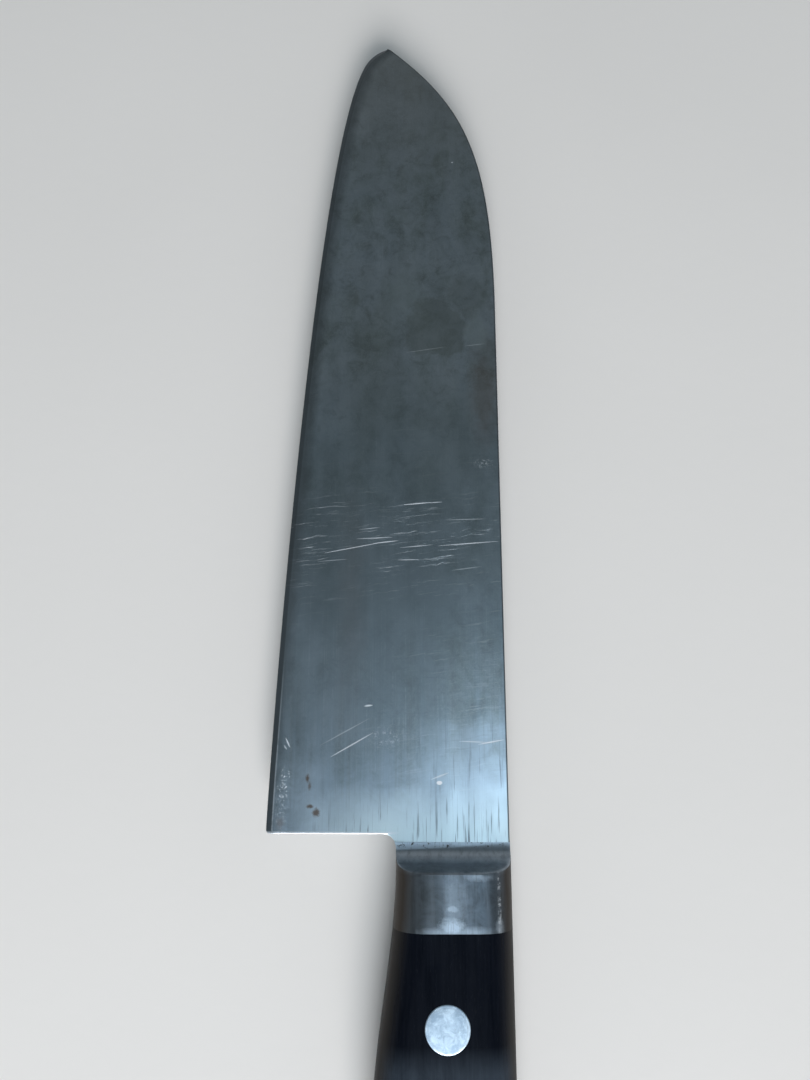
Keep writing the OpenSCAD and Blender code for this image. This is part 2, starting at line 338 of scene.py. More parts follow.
def outward(mesh, doubles=1e-7, slivers=None):
    """Turns a closed mesh's faces outward, once its doubles are merged and its slivers dissolved."""
    bm = bmesh.new()
    bm.from_mesh(mesh)
    bmesh.ops.remove_doubles(bm, verts=bm.verts, dist=doubles)
    if slivers:
        bmesh.ops.dissolve_degenerate(bm, edges=bm.edges, dist=slivers)
    bmesh.ops.recalc_face_normals(bm, faces=bm.faces)
    bm.to_mesh(mesh)
    bm.free()
    mesh.update()
    return mesh


def closed_mesh(name, points, faces, values=None):
    """A mesh from layout points, with doubles merged and faces outward. values are named point values."""
    mesh = bpy.data.meshes.new(name)
    mesh.from_pydata(laid(points), [], faces)
    for key, numbers in (values or {}).items():
        point_values(mesh, key, numbers)
    return outward(mesh, 2e-7, 1e-8)


def strip(first, second):
    """Quads between two rows of point numbers."""
    return np.stack([first[:-1], first[1:], second[1:], second[:-1]], 1).tolist()


def sheet(ids):
    """Quads between all the rows of a grid of point numbers."""
    return [quad for first, second in zip(ids, ids[1:]) for quad in strip(first, second)]


# ---- the blade and its tang ----


def waves(x, y):
    """Slight unevenness of the ground faces, in millimetres: long waves and weaker short ones."""
    total = 0
    for (length, width), level, share in ((LONG_WAVE, 3.7, 1), (SHORT_WAVE, 8.1, SHORT_WAVE_SHARE)):
        total = total + share * np.array([noise.noise(Vector((a / length, b / width, level)))
                                          for a, b in zip(x.ravel(), y.ravel())])
    return WAVE_HEIGHT * total.reshape(x.shape)


def half_thickness(x, y, from_spine, from_edge, bevel):
    """Half the steel's thickness, with the rounded spine, the eased heel and the sharpened bevel."""
    ground = HALF_STOCK - FACE_FALL * y - FACE_TAPER * x + waves(x, y) * np.clip(x / WAVE_FADE, 0, 1)
    into_tang = np.clip((-x - TANG_FROM) / TANG_RAMP, 0, 1)
    thick = ground * (1 - into_tang) + HALF_STOCK * into_tang
    spine_r = np.minimum(np.where(x > -BOLSTER_START, SPINE_ROUND, TANG_ROUND), SPINE_ROUND_MOST * thick)
    thick_here = thick - quarter(from_spine, spine_r)
    around_corner = np.hypot(x + CHOIL_R, y - MID_LINE) - CHOIL_R
    from_belly = neck_y(-x) - tang_inset(-x) - y
    from_heel = np.where(y >= MID_LINE, x, np.where(x > -CHOIL_R, around_corner, from_belly))
    heel_r = np.minimum(np.where(x > -BOLSTER_START, HEEL_ROUND, TANG_ROUND), HEEL_ROUND_MOST * thick)
    thick_here -= quarter(from_heel, heel_r)
    slope = (HALF_STOCK - FACE_FALL * (y + from_edge - bevel) - FACE_TAPER * x - HALF_LAND) / bevel
    sharpened = np.where(from_edge < bevel * BEVEL_REACH, HALF_LAND + slope * from_edge, HALF_STOCK)
    return np.maximum(np.minimum(thick_here, sharpened), HALF_LAND * LEAST_LAND)


def blade_stations():
    """Stations along x: close together at the butt, the inside corner, the heel and the tip."""
    around_butt = HANDLE_LEN - BUTT_BACK_R * (1 - np.cos(np.radians(np.arange(6, 91, 6))))
    handle = np.arange(BUTT_BACK_AT - HANDLE_STEP, 6, -HANDLE_STEP)
    blade = np.arange(3.2, BLADE_LEN - TIP_ZONE, BLADE_STEP)
    towards_tip = np.arange(BLADE_LEN - TIP_ZONE + 0.4, BLADE_LEN - TIP_END - 0.2, TIP_STEP)
    tip = BLADE_LEN - TIP_END * (np.cos(np.radians(np.linspace(0, 90, 22))))
    return np.concatenate([[-HANDLE_LEN], -around_butt, -handle, -np.array(NECK_ROWS), HEEL_ROWS, blade,
                           towards_tip, tip])


def blade_mesh():
    """The blade and its tang: an upper and an edge patch on each side, joined by walls at the rim."""
    x = blade_stations()
    in_blade = x >= 0
    first = int(np.argmax(in_blade))
    back = np.clip(-x, 0, None)

    # the upper patch: from the spine and the back down to the middle line, or to the belly
    spine_y = np.interp(x, SPINE_LINE[:, 0], SPINE_LINE[:, 1])
    top_y = np.where(in_blade, spine_y, back_y(back) + tang_inset(back))
    low_y = np.where(in_blade, MID_LINE, neck_y(back) - tang_inset(back))
    low_y[-1] = top_y[-1] = MID_LINE
    into = inward(SPINE_LINE, x, 1, 0)
    into[~in_blade] = (0, 1)
    room = np.clip((low_y - top_y) / ROUND_ROOM, 0, 1)
    rounds = np.array(SPINE_ROUND_ROWS)
    reach = rounds[None, :] * room[:, None]
    start = np.stack([x, top_y], 1)[:, None, :] + reach[:, :, None] * into[:, None, :]
    inner = start[:, -1, :]
    end_steps = np.array(BELLY_ROUND_ROWS)
    lower = np.stack([np.repeat(x[:, None], len(end_steps), 1),
                      low_y[:, None] - end_steps[None, :] * room[:, None]], 2)
    t = np.linspace(0, 1, 22)[1:-1]
    middle = inner[:, None, :] * (1 - t)[None, :, None] + lower[:, :1, :] * t[None, :, None]
    upper = np.concatenate([start, middle, lower], 1)
    from_spine = np.concatenate([reach, np.full((len(x), len(t) + len(end_steps)), FAR_FROM_SPINE)], 1)

    # the edge patch: from the middle line down to the cutting edge
    xe = x[first:]
    edge_y = np.interp(xe, EDGE_LINE[:, 0], EDGE_LINE[:, 1])
    edge_y[-1] = MID_LINE
    into_edge = inward(EDGE_LINE, xe, -1, EDGE_NORMALS_FROM)
    wander = np.array([noise.noise(Vector((a / 11, 0.4, 2.2))) for a in xe])
    bevel = BEVEL_W * (1 + BEVEL_WANDER * wander) + BEVEL_AT_HEEL * np.exp(-xe / BEVEL_HEEL_RUN)
    space = np.clip((edge_y - MID_LINE) / EDGE_PATCH_FULL, 0.02, 1)
    bevel = bevel * space
    band = np.array(BEVEL_ROWS)
    rim = np.stack([xe, edge_y], 1)
    foot = rim[:, None, :] + (band[None, :] * bevel[:, None])[:, :, None] * into_edge[:, None, :]
    foot[:, :, 0] = np.where(xe[:, None] == 0, 0, foot[:, :, 0])
    start_line = np.stack([xe, np.full(len(xe), MID_LINE)], 1)
    s = np.linspace(0, 1, 24)[:-1]
    span = start_line[:, None, :] * (1 - s)[None, :, None] + foot[:, :1, :] * s[None, :, None]
    edge_patch = np.concatenate([span, foot], 1)
    edge_patch[-1] = (BLADE_LEN, MID_LINE)

    points, faces, edge_values, spine_values = [], [], [], []

    def grid(patch, spine_gap):
        """Adds both faces of a patch and returns the point numbers of the left and the right one."""
        px, py = patch[:, :, 0], patch[:, :, 1]
        rim_y = np.interp(px, EDGE_LINE[:, 0], EDGE_LINE[:, 1], left=3 * HEEL_HEIGHT)
        local = into_edge[np.clip(np.searchsorted(xe, px), 0, len(xe) - 1), 1]
        edge_gap = np.clip((rim_y - py) * np.abs(local), 0, None)
        if patch is edge_patch:
            edge_gap[:, -len(band):] = band[None, :] * bevel[:, None]
        width = np.interp(px, xe, bevel)
        h = half_thickness(px, py, spine_gap, edge_gap, np.maximum(width, 0.02))
        sheets = []
        for side in (1, -1):
            base = len(points)
            points.extend(np.stack([px, py, side * h], 2).reshape(-1, 3).tolist())
            edge_values.extend(edge_gap.ravel().tolist())
            spine_values.extend(spine_gap.ravel().tolist())
            ids = base + np.arange(px.size).reshape(px.shape)
            sheets.append(ids)
            faces.extend(sheet(ids))
        return sheets

    upper_left, upper_right = grid(upper, from_spine)
    edge_left, edge_right = grid(edge_patch, np.full(edge_patch.shape[:2], FAR_FROM_SPINE))
    walls = (
        (upper_left[:, 0], upper_right[:, 0]),
        (upper_left[0, :], upper_right[0, :]),
        (upper_left[:first + 1, -1], upper_right[:first + 1, -1]),
        (edge_left[0, :], edge_right[0, :]),
        (edge_left[:, -1], edge_right[:, -1]),
    )
    for left, right in walls:
        faces.extend(strip(left, right))
    values = {"from_edge": edge_values, "from_spine": spine_values}
    return closed_mesh("blade_steel", points, faces, values)


# ---- the bolster's cheeks ----


def soft_min(a, b, width):
    """The lesser of two heights, with a rounded change between them."""
    near = np.clip(width - np.abs(a - b), 0, None) / width
    return np.minimum(a, b) - near * near * width / 4


def ramp_rise(back):
    """Height of the bolster's front above the face of the blade: a hollow ramp, then a leaning front."""
    run = np.clip(back - BOLSTER_START, 0, None)
    hollow = RAMP_R - np.sqrt(RAMP_R ** 2 - np.minimum(run, RAMP_FOOT) ** 2)
    slow, fast = [1 - np.exp(-run * rate) for rate in RAMP_FIRST_RATES]
    leaning = np.clip(run - RAMP_FOOT, 0, None) / math.tan(math.radians(RAMP_LEAN))
    return hollow + RAMP_FIRST_RISE * slow * fast + leaning


def bolster_mesh(side):
    """A cheek of the bolster: rounded across, with the ramp that runs out on the face of the blade."""
    foot = BOLSTER_START + RAMP_FOOT
    hollow = BOLSTER_START + RAMP_R * np.sin(np.radians(np.linspace(0, 90 - RAMP_LEAN, 22)))
    front = foot + np.array(LIP_ROWS)
    back = np.concatenate([hollow, front, np.linspace(foot + 2.2, BOLSTER_END, 14)])
    turn = np.radians(TURN_ROWS)
    into = ROUND_IN * (1 - np.clip(np.cos(turn), 0, 1) ** (2 / ROUND_POWER))
    low, high = back_y(back), np.maximum(belly_y(back), neck_y(back))
    across = np.linspace(0, 1, 18)[1:-1]
    rows_y = np.concatenate([
        low[:, None] + into[None, :],
        (low + ROUND_IN)[:, None] * (1 - across) + (high - ROUND_IN)[:, None] * across,
        high[:, None] - into[None, ::-1]], 1)
    u = np.repeat(back[:, None], rows_y.shape[1], 1)
    depth = np.minimum(rows_y - low[:, None], high[:, None] - rows_y)
    share = 1 - np.clip(depth, 0, ROUND_IN) / ROUND_IN
    blank = HALF_HANDLE - ROUND_DOWN + ROUND_DOWN * np.sqrt(np.clip(1 - share ** ROUND_POWER, 0, None))
    ground = HALF_STOCK - FACE_FALL * rows_y + FACE_TAPER * u
    # the lip starts a hair below the face of the blade, so it runs out in a clean line
    ramp = ground + ramp_rise(u) - LIP_DEPTH * np.exp(-(u - BOLSTER_START) * LIP_RATE)
    soft = np.clip(RIDGE_SOFTNESS * (blank - ground), 0.02, 3)
    top = np.where(ramp > blank + soft, blank, soft_min(blank, ramp, soft))
    top = np.where(ramp < HALF_STOCK + LIP_HEIGHT, np.minimum(ramp, blank), top)
    bottom = np.minimum(ground, HALF_STOCK)[:, [0, -1]] - CHEEK_INTO_STEEL
    z = np.concatenate([bottom[:, :1], np.maximum(top, bottom[:, :1] + NEARLY_ZERO), bottom[:, 1:]], 1)
    y = np.concatenate([rows_y[:, :1], rows_y, rows_y[:, -1:]], 1)
    x = -np.repeat(back[:, None], y.shape[1], 1)
    points = np.stack([x, y, z * side], 2).reshape(-1, 3)
    ids = np.arange(x.size).reshape(x.shape)
    faces = sheet(ids) + strip(ids[:, 0], ids[:, -1]) + [ids[0].tolist(), ids[-1].tolist()]
    return closed_mesh("bolster_cheek", points, faces)


# ---- Geometry Nodes, in metres ----

MERGE = 1e-6
FINE_MERGE = 1e-7
SAW_SIZE = 0.2


def chain(operation):
    """A method of Tree that takes any count of values and joins them by one operation."""
    def method(self, *values):
        total = values[0]
        for value in values[1:]:
            total = self.math(operation, total, value)
        return total
    return method


class Tree:
    """Builds a node tree. node() returns the node that it adds, and the other calls an output."""

    def __init__(self, tree):
        self.tree = tree

    def node(self, kind, inputs=None, **settings):
        made = self.tree.nodes.new(kind)
        for key, value in settings.items():
            setattr(made, key, value)
        for key, value in (inputs or {}).items():
            self.feed(made.inputs[key], value)
        return made

    def out(self, kind, inputs=None, **settings):
        return self.node(kind, inputs, **settings).outputs[0]

    def geo(self, kind, inputs=None, **settings):
        return self.out("GeometryNode" + kind, inputs, **settings)

    def feed(self, socket, value):
        if isinstance(value, (list, tuple)) and value and isinstance(value[0], bpy.types.NodeSocket):
            for one in value:
                self.tree.links.new(one, socket)
        elif isinstance(value, bpy.types.NodeSocket):
            self.tree.links.new(value, socket)
        else:
            socket.default_value = value

    def math(self, operation, a, b=0.0):
        return self.out("ShaderNodeMath", {0: a, 1: b}, operation=operation)

    add, less, times, over, most, least = [
        chain(name) for name in ("ADD", "SUBTRACT", "MULTIPLY", "DIVIDE", "MAXIMUM", "MINIMUM")]

    def parts(self, place):
        """The three numbers of a vector."""
        return self.node("ShaderNodeSeparateXYZ", {0: place}).outputs

    def joined(self, x=0.0, y=0.0, z=0.0):
        """A vector from three numbers."""
        return self.out("ShaderNodeCombineXYZ", {0: x, 1: y, 2: z})

    def scaled(self, way, share):
        """A vector made longer or shorter."""
        return self.out("ShaderNodeVectorMath", {0: way, 3: share}, operation="SCALE")

    def merged(self, geometry, distance):
        """A geometry whose doubled points are made one."""
        return self.geo("MergeByDistance", {"Geometry": geometry, "Distance": distance})

    def sampled(self, geometry, value, index, kind="FLOAT_VECTOR"):
        """What a value is at that point of a geometry."""
        inputs = {"Geometry": geometry, "Value": value, "Index": index}
        return self.geo("SampleIndex", inputs, data_type=kind, domain="POINT")

    def moved(self, geometry, way):
        return self.geo("Transform", {"Geometry": geometry, "Translation": way})

    def vector(self, operation, a, b=None, out=0):
        inputs = {0: a} if b is None else {0: a, 1: b}
        return self.node("ShaderNodeVectorMath", inputs, operation=operation).outputs[out]

    def spread(self, value, low, high, to_low=0.0, to_high=1.0):
        """A value drawn out from low..high to another range, and kept at its ends."""
        made = self.node("ShaderNodeMapRange", clamp=True)
        for key, number in ((0, value), (1, low), (2, high), (3, to_low), (4, to_high)):
            self.feed(made.inputs[key], number)
        return made.outputs[0]


def geometry_tree(name, sockets):
    """A Geometry Nodes tree with a geometry in and out and named inputs. Returns it and its inputs."""
    group = bpy.data.node_groups.new(name, "GeometryNodeTree")
    group.interface.new_socket("Geometry", in_out="OUTPUT", socket_type="NodeSocketGeometry")
    group.interface.new_socket("Geometry", in_out="INPUT", socket_type="NodeSocketGeometry")
    for key, kind in sockets:
        group.interface.new_socket(key, in_out="INPUT", socket_type="NodeSocket" + kind)
    tree = Tree(group)
    return tree, tree.node("NodeGroupInput").outputs


def close_tree(tree, geometry, material):
    """Ends a tree in Realize Instances and Set Material."""
    real = tree.geo("RealizeInstances", {"Geometry": geometry})
    done = tree.geo("SetMaterial", {"Geometry": real, "Material": material})
    tree.node("NodeGroupOutput", {"Geometry": done})


def run_tree(tree, base_mesh, values):
    """Runs a tree on a mesh and returns the result as a plain mesh."""
    carrier = placed(base_mesh.name, base_mesh)
    modifier = carrier.modifiers.new("nodes", "NODES")
    modifier.node_group = tree.tree
    for item in tree.tree.interface.items_tree:
        if item.in_out == "INPUT" and item.name in values:
            modifier[item.identifier] = values[item.name]
    carrier.update_tag()
    graph = bpy.context.evaluated_depsgraph_get()
    mesh = bpy.data.meshes.new_from_object(carrier.evaluated_get(graph))
    carrier.modifiers.remove(modifier)
    bpy.data.objects.remove(carrier)
    return mesh


def wound_grid(tree, count, rows):
    """A grid that is to be wound round, and each point's row and column. The last column of points
    falls on the first one."""
    grid = tree.geo("MeshGrid", {"Vertices X": tree.add(count, 1), "Vertices Y": rows})
    index = tree.geo("InputIndex")
    row = tree.math("MODULO", index, rows)
    column = tree.math("FLOOR", tree.over(tree.add(index, 0.5), rows))
    return grid, row, column


def scale_tree():
    """A handle scale. Its outline is swept with a quarter-elliptic rounding, closed above and below,
    cut square behind the bolster and drilled for the rivets."""
    tree, given = geometry_tree("handle_scale", (
        ("Top", "Float"), ("Bottom", "Float"), ("Round In", "Float"), ("Round Down", "Float"),
        ("Power", "Float"), ("Steps", "Int"), ("Front", "Float"), ("Side", "Float"), ("Centre", "Vector"),
        ("Rivet Places", "Object"), ("Head Radius", "Float"), ("Head Depth", "Float"),
        ("Shank Radius", "Float"), ("Material", "Material")))
    curve = tree.geo("MeshToCurve", {"Mesh": given["Geometry"]})
    size = tree.node("GeometryNodeAttributeDomainSize", {"Geometry": curve}, component="CURVE")
    count = size.outputs["Point Count"]
    grid, row, column = wound_grid(tree, count, tree.add(given["Steps"], 3))
    wrapped = tree.math("MODULO", column, count)
    on_line = tree.sampled(curve, tree.geo("InputPosition"), wrapped)
    run = tree.sampled(curve, tree.geo("InputTangent"), wrapped)
    inward_way = tree.vector("NORMALIZE", tree.vector("CROSS_PRODUCT", run, (0, 0, 1)))
    # row 0 is the foot of the upright wall, then comes the rounding, and the last row is a flat lip
    turn = tree.over(tree.less(row, 1), given["Steps"])
    share = tree.least(tree.most(turn, 0), 1)
    angle = tree.times(share, math.pi / 2)
    lip = tree.math("GREATER_THAN", row, tree.add(given["Steps"], 1.5))
    rest = tree.math("POWER", tree.most(tree.math("COSINE", angle), 0), tree.over(2, given["Power"]))
    round_share = tree.geo("InputNamedAttribute", {"Name": "round_share"}, data_type="FLOAT")
    share_here = tree.sampled(curve, round_share, wrapped, "FLOAT")
    reach = tree.add(tree.times(given["Round In"], tree.less(1, rest)), tree.times(lip, SCALE_LIP * MM))
    reach = tree.times(reach, share_here)
    drop = tree.times(given["Round Down"], tree.less(1, tree.math("SINE", angle)))
    height = tree.less(given["Top"], drop)
    is_foot = tree.math("LESS_THAN", row, 0.5)
    level = tree.out("ShaderNodeMix", {0: is_foot, 2: height, 3: given["Bottom"]}, data_type="FLOAT")
    shifted = tree.vector("ADD", on_line, tree.scaled(inward_way, reach))
    swept_to = tree.vector("ADD", shifted, tree.joined(z=level))
    swept = tree.geo("SetPosition", {"Geometry": grid, "Position": swept_to})
    closed_ring = tree.merged(swept, MERGE)

    neighbours = tree.geo("InputMeshEdgeNeighbors")
    rim = tree.math("COMPARE", neighbours, 1)
    place = tree.geo("InputPosition")
    z_of = tree.parts(place)[2]
    half_way = tree.times(tree.add(given["Top"], given["Bottom"]), 0.5)
    caps = []
    for operation, at in (("GREATER_THAN", given["Top"]), ("LESS_THAN", given["Bottom"])):
        chosen = tree.times(rim, tree.math(operation, z_of, half_way))
        loop = tree.geo("MeshToCurve", {"Mesh": closed_ring, "Selection": chosen})
        face = tree.geo("FillCurve", {"Curve": loop}, mode="NGONS")
        caps.append(tree.moved(face, tree.joined(z=at)))
    caps[1] = tree.geo("FlipFaces", {"Mesh": caps[1]})
    skin = tree.geo("JoinGeometry", {"Geometry": [closed_ring, caps[0], caps[1]]})
    blank = tree.merged(skin, MERGE)

    places = tree.node("GeometryNodeObjectInfo", {"Object": given["Rivet Places"]}).outputs["Geometry"]

    def drill(radius, depth):
        bit = tree.geo("MeshCylinder", {"Vertices": RIVET_SIDES, "Radius": radius, "Depth": depth})
        bits = tree.geo("InstanceOnPoints", {"Points": places, "Instance": bit})
        moved = tree.geo("TranslateInstances", {
            "Instances": bits, "Translation": tree.joined(z=given["Top"]), "Local Space": False})
        return tree.geo("RealizeInstances", {"Geometry": moved})

    seats = drill(given["Head Radius"], tree.times(given["Head Depth"], 2))
    shanks = drill(given["Shank Radius"], tree.times(given["Top"], 4))
    block = tree.geo("MeshCube", {"Size": (SAW_SIZE, SAW_SIZE, SAW_SIZE)})
    saw = tree.moved(block, tree.joined(x=tree.add(given["Front"], SAW_SIZE / 2)))
    cut = blank
    for cutter in (saw, seats, shanks):
        cut = tree.geo("MeshBoolean", {0: cut, 1: cutter}, operation="DIFFERENCE", solver="EXACT")
    side = tree.joined(1.0, 1.0, given["Side"])
    turned = tree.geo("Transform", {"Geometry": cut, "Scale": side, "Translation": given["Centre"]})
    close_tree(tree, turned, given["Material"])
    return tree


def turned_tree():
    """Turned parts set on points: a profile of radius and height is revolved round each point."""
    tree, given = geometry_tree("turned_on_points", (
        ("Profile", "Object"), ("Segments", "Int"), ("Material", "Material")))
    profile = tree.node("GeometryNodeObjectInfo", {"Object": given["Profile"]}).outputs["Geometry"]
    size = tree.node("GeometryNodeAttributeDomainSize", {"Geometry": profile}, component="MESH")
    count = size.outputs["Point Count"]
    grid, row, column = wound_grid(tree, given["Segments"], tree.add(count, 1))
    wrapped = tree.math("MODULO", row, count)
    parts = tree.parts(tree.sampled(profile, tree.geo("InputPosition"), wrapped))
    angle = tree.times(tree.over(column, given["Segments"]), 2 * math.pi)
    position = tree.joined(tree.times(parts[0], tree.math("COSINE", angle)),
                           tree.times(parts[0], tree.math("SINE", angle)), parts[2])
    turned = tree.geo("SetPosition", {"Geometry": grid, "Position": position})
    turned = tree.geo("StoreNamedAttribute", {
        "Geometry": turned, "Name": "from_axis", "Value": tree.times(parts[0], 1 / MM)},
        data_type="FLOAT", domain="POINT")
    stood = tree.geo("InstanceOnPoints", {
        "Points": given["Geometry"], "Instance": tree.merged(turned, FINE_MERGE)})
    close_tree(tree, stood, given["Material"])
    return tree


def point_mesh(name, places):
    mesh = bpy.data.meshes.new(name)
    mesh.from_pydata([tuple(p) for p in places], [], [])
    return mesh


# ---- materials ----


class Shade(Tree):
    """A shader tree with the knife's layout at hand: where, along, across and up are in millimetres."""

    def __init__(self, name):
        self.material = bpy.data.materials.new(name)
        self.material.use_nodes = True
        super().__init__(self.material.node_tree)
        self.shader = self.tree.nodes["Principled BSDF"]
        place = self.node("ShaderNodeTexCoord").outputs["Object"]
        scaled = self.vector("MULTIPLY", place, (1 / MM, 1 / MM, 1 / MM))
        self.where = self.vector("SUBTRACT", scaled, tuple(HEEL / MM))
        self.along, self.across, self.up = self.parts(self.where)
        self.left = self.math("GREATER_THAN", self.up, 0)

    def noise(self, stretch, detail=3.0, rough=0.55, shift=(0, 0, 0), warp=0.0):
        """Noise from 0 to 1 whose grain is stretched: stretch is the count of grains per millimetre."""
        at = self.vector("ADD", self.vector("MULTIPLY", self.where, stretch), shift)
        made = self.node("ShaderNodeTexNoise", {"Vector": at, "Scale": 1.0, "Detail": detail,
                                                "Roughness": rough, "Distortion": warp})
        return made.outputs[0]

    def mix(self, share, a, b):
        """Colour a, changed into b by that share."""
        made = self.node("ShaderNodeMix", data_type="RGBA")
        self.feed(made.inputs[0], share)
        for key, value in ((6, a), (7, b)):
            self.feed(made.inputs[key], (*value, 1) if isinstance(value, tuple) else value)
        return made.outputs[2]

    def swing(self, value, size):
        """A noise value as a change to both sides of 0."""
        return self.times(self.add(value, -0.5), size)

    def marks(self, rows):
        """The strongest of many patches. Each row is the strength and what patch() takes."""
        return self.most(*[self.times(self.patch(*row[1:]), row[0]) for row in rows])

    def layers(self, colour, *rows):
        """Lays colours over a colour. A row is a value, where the new colour starts and is full, its
        greatest share, and the new colour."""
        for value, start, full, share, over in rows:
            colour = self.mix(self.times(self.spread(value, start, full), share), colour, over)
        return colour

    def normal_part(self, which):
        """How far the surface faces along x, y or z, from 0 to 1."""
        normal = self.node("ShaderNodeNewGeometry").outputs["Normal"]
        return self.math("ABSOLUTE", self.parts(normal)[which])

    def band(self, value, start, full, end, gone):
        """Rises from start to full and falls again from end to gone."""
        return self.times(self.spread(value, start, full), self.spread(value, end, gone, 1, 0))

    def scratch(self, start, end, width, strength=1.0):
        """A single fine scratch on the left face, thin at its ends."""
        a = Vector((*start, 0))
        run = Vector((*end, 0)) - a
        flat = self.vector("MULTIPLY", self.where, (1, 1, 0))
        rel = self.vector("SUBTRACT", flat, tuple(a))
        reached = self.vector("DOT_PRODUCT", rel, tuple(run), out=1)
        share = self.least(self.most(self.over(reached, run.length_squared), 0), 1)
        gap = self.vector("LENGTH", self.vector("SUBTRACT", rel, self.scaled(tuple(run), share)), out=1)
        body = self.math("SINE", self.times(self.add(self.times(share, 0.9), 0.05), math.pi))
        edge = self.spread(gap, self.times(body, width / 2), 0, 0, 1)
        return self.times(edge, strength)

    def patch(self, centre, half_size, soft=0.6, ragged=0.5, grain=0.35):
        """An oblong, ragged patch on the left face. soft and ragged are shares of its size."""
        rel = self.vector("SUBTRACT", self.vector("MULTIPLY", self.where, (1, 1, 0)), (*centre, 0))
        gap = self.vector("LENGTH", self.vector("DIVIDE", rel, (*half_size, 1)), out=1)
        tear = self.noise((grain, grain, 1), 4, 0.7, (*centre, 0))
        gap = self.add(gap, self.times(self.add(tear, -0.5), 5 * ragged))
        return self.spread(gap, 1 + soft, 1 - soft / 2, 0, 1)

    def attribute(self, name):
        return self.node("ShaderNodeAttribute", attribute_name=name).outputs["Fac"]

    def bump(self, height, reach):
        """Bumps from a height of 0 to 1 that stands for reach millimetres."""
        made = self.node("ShaderNodeBump", {"Height": height, "Strength": 1.0, "Distance": reach * MM})
        self.feed(self.shader.inputs["Normal"], made.outputs[0])

    def finish(self, colour, rough, metal):
        self.feed(self.shader.inputs["Base Color"], (*colour, 1) if isinstance(colour, tuple) else colour)
        self.feed(self.shader.inputs["Roughness"], rough)
        self.feed(self.shader.inputs["Metallic"], metal)
        return self.material


# Marks of use on the left face, in the knife's layout. A scratch is its start, its end, its width and
# its strength. A patch is its strength, centre, half size, softness, raggedness and count of grains.
SCRATCHES = (
    ((14.2, 34.4), (18.8, 26.2), 0.36, 0.75), ((16.4, 36.5), (21.5, 27.0), 0.3, 0.35),
    ((17.2, 9.4), (17.0, 4.0), 0.34, 0.7), ((16.6, 5.6), (17.5, 0.6), 0.42, 0.95),
    ((10.0, 14.9), (11.3, 11.4), 0.5, 0.65), ((65.2, 20.2), (65.7, 14.6), 0.36, 1.0),
    ((65.6, 15.0), (65.8, 12.2), 0.30, 0.8), ((54.9, 36.6), (57.2, 24.4), 0.30, 0.85),
    ((56.9, 26.6), (57.5, 21.4), 0.34, 0.9), ((56.4, 13.0), (57.3, 0.8), 0.30, 0.85),
    ((57.9, 30.0), (58.2, 22.6), 0.28, 0.7), ((56.0, 21.0), (56.6, 14.2), 0.26, 0.6),
    ((61.9, 11.4), (62.1, 3.6), 0.34, 0.4), ((59.9, 29.5), (60.3, 25.2), 0.26, 0.5),
    ((53.4, 21.4), (53.5, 17.2), 0.4, 0.6), ((53.1, 38.0), (53.6, 31.8), 0.26, 0.45),
    ((51.2, 10.4), (52.0, 4.2), 0.26, 0.4), ((99.9, 19.6), (101.2, 11.0), 0.26, 0.35),
    ((101.4, 6.8), (101.9, 2.4), 0.24, 0.35), ((17.8, 43.3), (16.0, 42.4), 0.45, 0.8),
    ((16.4, 43.6), (15.6, 43.0), 0.4, 0.6), ((23.9, 28.0), (24.1, 26.3), 0.5, 0.9),
    ((147.9, 9.3), (148.1, 8.9), 0.5, 0.6),
)
WHITE_DOT = ((9.4, 13.3), (0.34, 0.52), 0.3, 0.12, 1.4)
FLECKED_PLACES = (
    (1.0, (10.9, 43.2), (1.0, 0.7), 0.6, 0.4, 1.7), (1.0, (8.0, 43.5), (1.3, 0.8), 0.6, 0.4, 1.7),
    (0.5, (18.0, 23.6), (1.5, 2.4), 0.8, 0.4, 1.1), (0.4, (4.6, 43.7), (3.6, 1.0), 0.6, 0.4, 1.4),
    (0.6, (74.2, 3.2), (0.7, 1.6), 0.8, 0.4, 1.3),
)
RUST = (
    (0.5, (90.5, 2.9), (8.5, 2.3), 0.9, 0.3), (0.22, (46, 31.0), (15, 1.8), 1.2, 0.4, 0.2),
    (0.9, (10.2, 38.8), (0.6, 0.30), 0.7, 0.3, 1.8), (0.75, (8.7, 38.4), (0.6, 0.24), 0.7, 0.3, 1.8),
    (0.9, (5.0, 38.2), (0.30, 0.5), 0.7, 0.3, 1.8), (0.9, (3.9, 37.0), (0.6, 0.55), 0.7, 0.35, 1.8),
    (0.6, (1.9, 43.9), (0.9, 0.6), 0.9, 0.4, 1.5),
)
DARK_STAINS = (
    (0.60, (105.5, 12.8), (7.0, 6.5), 0.18, 0.30, 0.20), (0.40, (113.0, 6.0), (4.5, 4.0), 0.4, 0.3),
    (0.30, (98.0, 27.0), (16, 5), 0.8, 0.35, 0.14), (0.25, (84.0, 11.0), (12, 6), 0.8, 0.35, 0.14),
    (0.65, (112.5, 30.9), (1.3, 0.7), 0.9, 0.3, 0.9),
)
PALE_STAINS = (
    (0.45, (113.5, 20.5), (4.5, 3.0), 0.7, 0.3), (0.55, (104.5, 4.4), (3.6, 2.2), 0.4, 0.25),
)
# Rubs and painted highlights on the bolster.
RUB_AND_HIGHLIGHT_PLACES = (
    (0.50, (-15.8, 10.4), (0.7, 4.4), 0.9, 0.25, 0.6), (0.85, (-14.8, 11.3), (1.1, 1.5), 0.9, 0.35, 0.8),
    (0.60, (-11.9, 11.4), (0.5, 0.9), 0.7, 0.40, 1.2), (0.30, (-10.6, 11.0), (5.5, 1.2), 1.0, 0.40, 0.6),
    (0.40, (-6.4, 6.4), (0.5, 1.8), 1.0, 0.45, 1.0), (0.70, (-15.0, 2.9), (1.1, 0.5), 0.8, 0.40, 0.9),
)


